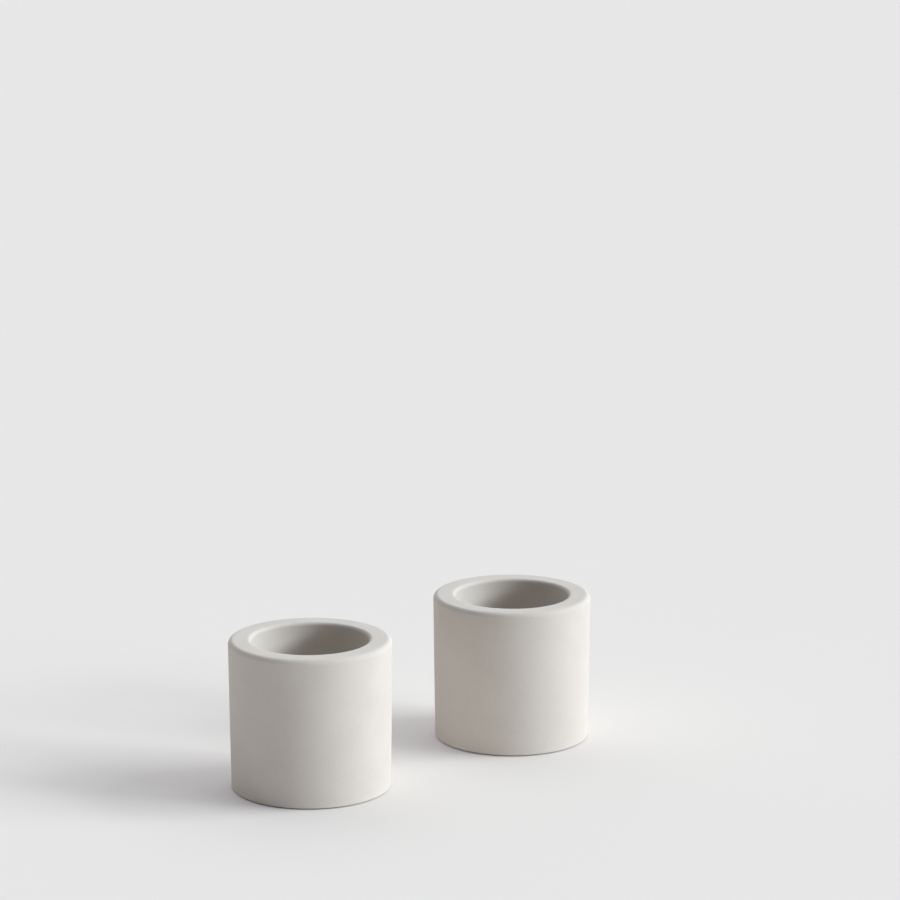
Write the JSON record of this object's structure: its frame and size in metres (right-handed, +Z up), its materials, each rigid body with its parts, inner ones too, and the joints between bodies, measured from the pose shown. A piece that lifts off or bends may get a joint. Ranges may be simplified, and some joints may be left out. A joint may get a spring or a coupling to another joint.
{
  "type": "toothbrush holder set",
  "caption": "Set of round, thick-walled stone cups on soft feet, each with a blind bore in which a toothbrush stands on a bathroom counter.",
  "frame": {"origin": "on the counter, midway between the two holders", "axes": "+X from the left holder to the right holder, +Z up, out of the bores"},
  "size_m": [0.1474, 0.056, 0.0522],
  "materials": {
    "stone": "matte, fine-grained cast mineral, pale warm grey, unglazed",
    "silicone": "soft matte silicone, grey"
  },
  "bodies": {
    "left_holder": {"left_cup": "stone", "left_foot_1": "silicone", "left_foot_2": "silicone", "left_foot_3": "silicone", "left_foot_4": "silicone"},
    "right_holder": {"right_cup": "stone", "right_foot_1": "silicone", "right_foot_2": "silicone", "right_foot_3": "silicone", "right_foot_4": "silicone"}
  },
  "joints": [
    {"name": "right_holder_lift", "type": "slide", "parent": "left_holder", "child": "right_holder", "axis": [0, 0, 1], "range_m": [0, 0.08]}
  ]
}
